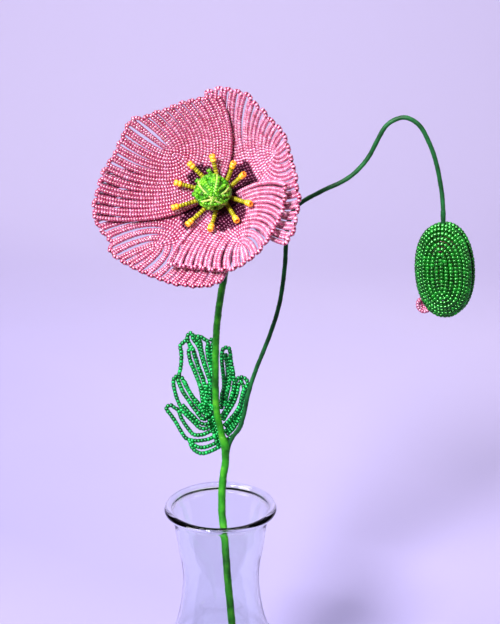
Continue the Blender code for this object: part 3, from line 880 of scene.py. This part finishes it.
def make_carafe():
    """Spin the carafe's outline, as (radius, height) in mm, round its axis."""
    outside = [(0, 1.2), (22, 1.2), (29, 0.3), (33, 0), (35.6, 1), (37, 4), (39, 20),
               (40, 42), (37.8, 62), (31.8, 77), (25.5, 89), (22.3, 102), (20.75, 117),
               (21.3, 128), (23, 137), (24.6, 149), (25.3, 154.5), (26, 157), (27, 158.1),
               (28.6, 158.3), (29.8, 159.2), (30, 160.4), (29.3, 161.6), (28, 162)]
    inside = [(26.8, 161.7), (26, 160.8), (25.1, 158.6), (24.1, 154.5), (23.3, 149), (21.8, 137),
              (20.1, 128), (19.5, 117), (21, 102), (24.1, 89), (30.2, 77), (35.9, 62),
              (37.9, 42), (36.8, 20), (34.8, 11.5), (31, 7.6), (24, 6.5), (0, 6.3)]
    profile = smooth_route([(r * MM, 0.0, z * MM) for r, z in outside + inside], 0.6 * MM)
    profile[:, 0] = np.maximum(profile[:, 0], 0.0)
    mesh = bpy.data.meshes.new("glass_carafe_wall")
    mesh.from_pydata([tuple(p) for p in profile], [(i, i + 1) for i in range(len(profile) - 1)], [])
    carafe = bpy.data.objects.new("glass_carafe_wall", mesh)
    bpy.context.collection.objects.link(carafe)
    edit_only(carafe)
    bpy.ops.mesh.select_all(action="SELECT")
    bpy.ops.mesh.spin(steps=96, angle=math.tau, center=(0, 0, 0), axis=(0, 0, 1))
    bpy.ops.mesh.select_all(action="SELECT")
    bpy.ops.mesh.remove_doubles(threshold=0.00002)
    bpy.ops.mesh.normals_make_consistent(inside=False)
    bpy.ops.object.mode_set(mode="OBJECT")
    bpy.ops.object.shade_smooth()
    mesh.materials.append(clear_glass())
    return finish_piece(carafe, "glass", "glass_carafe")


make_carafe()

# %% [markdown]
# The leaf is wired like a feather: from its midrib, loops of beads run out and up on both sides,
# and a few loops at the top curl over. Each string is drawn by a few points, out along one row and
# home along the next. Its beads are round and a little apart, so each keeps its own flash.

# %% Leaf
# Each string is a list of (across, height over H) in mm.
LEAF_STRINGS = [
    # lowest loop on the left
    [(-1, 23), (-4.5, 21), (-8, 19.5), (-11.5, 19), (-14.5, 20.5), (-16.5, 23), (-17, 25.5), (-15.5, 24),
     (-12.5, 22.5), (-9, 22.5), (-5, 24), (-2, 26)],
    # the long loop that reaches furthest left
    [(-3, 29), (-7, 27), (-12.5, 26), (-17.5, 26.5), (-20, 28), (-22.5, 32), (-25, 36.5), (-28, 41), (-30, 44),
     (-28, 46), (-25.5, 44.5), (-23.5, 43), (-22, 39), (-20, 35.5), (-17.5, 32), (-15, 29.5), (-10.5, 29.5),
     (-5, 32)],
    # the loop above it
    [(-5.5, 35), (-9, 33.5), (-12, 34), (-14, 36), (-16.5, 38.5), (-19.5, 41.5), (-22, 44.5), (-21, 46.5),
     (-17.5, 42.5), (-14.5, 39.5), (-12, 37), (-9, 36), (-6, 37)],
    # the left shoulder: three rows to one tip
    [(-8, 38), (-11, 39.5), (-13.5, 43), (-16, 46.5), (-19, 50.5), (-21.5, 55), (-23.5, 60), (-25, 62),
     (-26, 59), (-25.5, 55), (-24.5, 51), (-23, 47), (-21.5, 44.5)],
    [(-9, 41), (-10.5, 44), (-11.5, 46), (-13, 48), (-15.5, 51), (-18, 55), (-20, 59), (-21.5, 62),
     (-23.5, 62.5)],
    # the tall row at the far left
    [(-23, 63), (-22, 67), (-21.5, 71), (-21.5, 76), (-22, 79.5), (-20, 81.5), (-18, 83), (-17, 80), (-16, 77)],
    # middle left, two rows
    [(-8.5, 43), (-10, 47), (-10.5, 51), (-11.5, 56.5), (-13, 61.5), (-15, 67), (-17, 72), (-17.5, 76),
     (-16, 78), (-15, 76.5), (-13.5, 72), (-12, 67), (-10, 62), (-9, 58), (-7.5, 54), (-7, 49)],
    # the curled tip at the top and its long row
    [(-14.5, 77), (-16.5, 80), (-18, 83), (-17.5, 86), (-15.5, 86.5), (-15, 83.5), (-12.5, 80), (-11, 76),
     (-10, 72), (-8.5, 67.5), (-7, 63), (-6, 59), (-6, 53)],
    # the loop that arches over to the stem
    [(-15, 84.5), (-11.5, 84.5), (-9, 83), (-7, 81.5), (-7, 80), (-7.5, 77), (-7, 72.5), (-6, 68.5), (-5, 65),
     (-4.5, 60)],
    [(-4, 62), (-4, 68), (-4.5, 74), (-5, 78), (-4, 82), (-6, 83)],
    # right of the stem: the upright loop with a row up its middle
    [(0, 47), (0.5, 53), (1.5, 56), (1.5, 61), (1, 66), (0.5, 71), (0.5, 75), (1.5, 78), (4, 78.5), (5, 76),
     (5.5, 71), (6.5, 66), (7, 61), (7.5, 58), (6, 53)],
    [(0, 44), (1.5, 51), (3, 56), (3.5, 61), (3.5, 66), (3, 71), (2.5, 75)],
    # the curled tip at the right and the rows that hang from it
    [(0, 40), (3, 45), (5, 49.5), (6.5, 54), (7, 58), (8.5, 60.5), (10.5, 62), (13, 61.5), (14.5, 59.5),
     (14, 57), (11.5, 56)],
    [(1, 38), (4, 43), (6.5, 47), (8.5, 52), (9.5, 57), (11, 59), (12.5, 56), (12, 51), (10.5, 46), (8.5, 42),
     (5.5, 38.5), (2, 34.5)],
    [(2, 31), (4.5, 34), (7, 37), (10, 41), (12.5, 47), (13.5, 53), (14, 55)],
    [(2.5, 27), (6.5, 29.5), (9.5, 32.5), (11.5, 37), (10.5, 40), (7, 34), (3, 30)],
    # second rows beside the loops, and the crowded rows at the rib
    [(-17.4, 75.5), (-16.5, 70), (-14.5, 65), (-12, 58.5), (-8.6, 49.5)],
    [(-14.9, 76), (-12.4, 67.5), (-9.9, 60.5), (-7.8, 53)],
    [(-13.2, 84.5), (-11.1, 81.5), (-10.3, 76), (-8.6, 69), (-6.5, 62), (-5.3, 56)],
    [(-6.9, 80.5), (-6.5, 74), (-5.3, 66), (-4.4, 60)],
    [(-23.7, 61.5), (-21.2, 54.7), (-17.9, 49.4), (-13.7, 43.2), (-10.3, 38.7)],
    [(-20, 60), (-17.4, 53.8), (-14.5, 48.5), (-11.1, 44), (-7.8, 40.5)],
    [(0.6, 38.7), (4.8, 44), (7.3, 50.3), (9, 56.5), (11.5, 60.5)],
    [(1.5, 35.2), (6.5, 40.5), (9.9, 45.8), (11.5, 52), (12.8, 56.5)],
    [(1.9, 30.7), (7.3, 35.2), (10.7, 41.4), (12.8, 47.6), (13.2, 53.8)],
    [(1.5, 75), (3.6, 69), (4.2, 62), (3.4, 56.5), (2, 50.3)],
    [(4.2, 74), (5.2, 67), (4.8, 60), (3.4, 53), (1.5, 46)],
    [(-11.5, 42), (-7.5, 45.5), (-5, 52), (-4.5, 58)],
    [(-10.5, 38.5), (-6, 42), (-3.5, 47.5), (-3, 54)],
    [(-8.5, 47.5), (-6.5, 53), (-5, 58), (-4.5, 64)],
    [(-9.5, 44.5), (-8, 50), (-6.5, 56), (-5.5, 61)],
]
LEAF_MIDRIB = [(0, 22), (-2, 28), (-4, 34), (-6, 40), (-7, 46), (-7, 52), (-6.5, 58)]
LEAF_FOOT = 22  # mm over H, where the leaf starts
LEAF_BACK = 28.4  # mm behind the carafe's axis there
LEAF_LEAN = 0.12
LEAF_BOW = 0.8
LEAF_WAVE = 0.9
RIB_PITCH = 1.3
LEAF_BEAD = 2.5 * MM
LEAF_STEP = 1.8 * MM


def leaf_line(points, lift):
    """A leaf string in the frame: the sheet leans back as it rises, and each string bows a little."""
    flat = smooth_route([(x, 0.0, z) for x, z in points], 0.5)
    share = np.linspace(0, 1, len(flat))
    flat[:, 1] = LEAF_BACK + LEAF_LEAN * (flat[:, 2] - LEAF_FOOT) + lift + LEAF_BOW * np.sin(share * math.pi)
    return flat * MM + [0, 0, H]


def make_leaf():
    """All loops and the beaded midrib as one wired piece."""
    strings = []
    for number, points in enumerate(LEAF_STRINGS):
        lift = LEAF_WAVE * math.sin(number * 2.4)
        strings.append(string_beads(leaf_line(points, lift), LEAF_STEP, LEAF_BEAD))
    for shift in (-RIB_PITCH, 0.0, RIB_PITCH):
        rib = leaf_line(LEAF_MIDRIB, 1.6 - abs(shift)) + np.array([shift, 0, 0]) * MM
        strings.append(string_beads(rib, LEAF_STEP, LEAF_BEAD))
    strung_piece("beaded_leaf", "leaf_beads", "leaf", strings, [EMERALD_GLASS], uneven=0.14)


make_leaf()

# %% [markdown]
# A closed poppy bud has two hairy sepals like the halves of a nut. Here each is a dome of nested
# oval rings of beads round one short straight row. Between them a packed petal shows pink.

# %% Bud
FRONT_LOW, FRONT_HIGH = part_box("bud_sepal_front")
BACK_LOW, BACK_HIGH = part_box("bud_sepal_back")
BUD_CENTRE = (np.minimum(FRONT_LOW, BACK_LOW) + np.maximum(FRONT_HIGH, BACK_HIGH)) / 2
BUD_TURN = math.radians(-16)
BUD_BEAD = 2.4 * MM
BUD_STEP = 1.85 * MM
BUD_LEAN = math.radians(5)
BUD_RISE = 0.8
# Half width and half height of each ring in mm, from the short middle row outwards.
SEPAL_RINGS = [(2.4, 10.6), (4.8, 13), (7.1, 15.4), (9.2, 17.8), (11, 20), (12.4, 22), (13.3, 23.6)]
SEPAL_MIDDLE = 8.2  # half height of the middle row
SEPAL_EDGE = 13.8  # half width where the dome meets its rim
SEPAL_DOME = 7.6  # how far the dome stands out
SEPAL_GAP = 0.9  # half the gap between the sepals
COLLAR_LOW, COLLAR_HIGH = H + 0.1590, H + 0.1640
COLLAR_WIDTH = 2.55 * MM


def bud_place(points):
    """Bud coordinates in mm to the frame's: turned to face the light, then leant to the left."""
    cos, sin = math.cos(BUD_TURN), math.sin(BUD_TURN)
    x = points[:, 0] * cos - points[:, 1] * sin
    y = points[:, 0] * sin + points[:, 1] * cos
    cos, sin = math.cos(BUD_LEAN), math.sin(BUD_LEAN)
    leant = np.stack([x * cos - points[:, 2] * sin, y, x * sin + points[:, 2] * cos + BUD_RISE], axis=1)
    return leant * MM + BUD_CENTRE


def sepal_strings(side, shift, drop):
    """Nested oval rings over a dome, on the front (-1) or the back (1) of the bud."""
    middle = np.linspace(-SEPAL_MIDDLE, SEPAL_MIDDLE, 30)
    line = np.stack([np.full(30, shift), np.full(30, side * (SEPAL_GAP + SEPAL_DOME)), middle + drop], axis=1)
    strings = [string_beads(bud_place(line), BUD_STEP, BUD_BEAD)]
    angle = np.linspace(math.pi / 2, math.pi / 2 + math.tau, 160)
    for wide, tall in SEPAL_RINGS:
        sag = 1 - (wide / SEPAL_EDGE) ** 2
        x = wide * np.sign(np.cos(angle)) * np.abs(np.cos(angle)) ** 0.9
        y = side * (SEPAL_GAP + SEPAL_DOME * sag ** 0.55)
        z = tall * np.sign(np.sin(angle)) * np.abs(np.sin(angle)) ** 0.95
        line = np.stack([x + shift, np.full(160, y), z + drop], axis=1)
        line[:, 1] += side * rng.normal(0, 0.15)
        strings.append(string_beads(even_steps(bud_place(line), 0.4 * MM), BUD_STEP, BUD_BEAD))
    return strings


def packed_strings():
    """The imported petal: seven warped rings between the sepals, and three at its lower left corner."""
    strings = []
    for k in range(7):
        angle = np.linspace(0, math.tau, 90)
        line = np.stack([(2.4 + 0.7 * k) * np.cos(angle), (k - 3) * 1.1 + 0.6 * np.sin(2 * angle),
                         (9 + 1.0 * k) * np.sin(angle)], axis=1)
        strings.append(string_beads(even_steps(bud_place(line), 0.4 * MM)))
    for k in range(3):
        angle = np.linspace(0, math.tau, 30)
        line = np.stack([-11.2 + (3.2 - k * 0.9) * np.cos(angle), np.full(30, (k - 1) * 1.3),
                         -18.6 + (3.6 - k * 0.6) * np.sin(angle)], axis=1)
        strings.append(string_beads(even_steps(bud_place(line), 0.4 * MM)))
    return strings


def make_bud():
    """The two sepals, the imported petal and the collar."""
    for where, side, shift, drop in (("front", -1, -0.4, 0.0), ("back", 1, 0.5, -0.5)):
        strung_piece(f"beaded_{where}_sepal", "bud_beads", f"bud_sepal_{where}",
                     sepal_strings(side, shift, drop), [BUD_GLASS], uneven=0.14, barrel=True)
    strung_piece("beaded_bud_petal", "pink_beads", "bud_petal", packed_strings(), [PINK_GLASS])
    line = stem_line(BUD_ROUTE, 0.4 * MM)
    line = line[(line[:, 0] > 0.1) & (line[:, 2] > COLLAR_LOW) & (line[:, 2] < COLLAR_HIGH)]
    taped_rod("wound_bud_collar", "bud_collar", line, np.full(len(line), COLLAR_WIDTH), 14, THIN_TAPE)


make_bud()

# %% [markdown]
# Two solids of the model are already right and only need their finish: the florist wire inside the
# tape, and the beech ball under the pod's beads, which is painted green so that no gap shows.

# %% Hidden wire and ball
def finish_core(node, name, code, roughness, metallic):
    """A finish for a model solid that stays: a fine grain of about 1 mm breaks up its gloss."""
    made, tree, shader = new_material(name)
    place = add_node(tree, "ShaderNodeTexCoord").outputs["Object"]
    grain = add_node(tree, "ShaderNodeTexNoise", Vector=place, Scale=900.0, Detail=2.0)
    rough = add_node(tree, "ShaderNodeMapRange", Value=grain.outputs["Fac"], To_Min=roughness - 0.08,
                     To_Max=roughness + 0.08)
    set_inputs(tree, shader, Base_Color=colour(code), Roughness=rough.outputs["Result"], Metallic=metallic)
    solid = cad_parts[node]
    for slot in solid.material_slots:
        slot.material = made
    return made


finish_core("stem_wire", "drawn steel florist wire", "8E9092", 0.35, 1.0)
finish_core("pod_core", "green painted beech", "3F8F1E", 0.5, 0.0)
print("finished in place: stem_wire, pod_core")
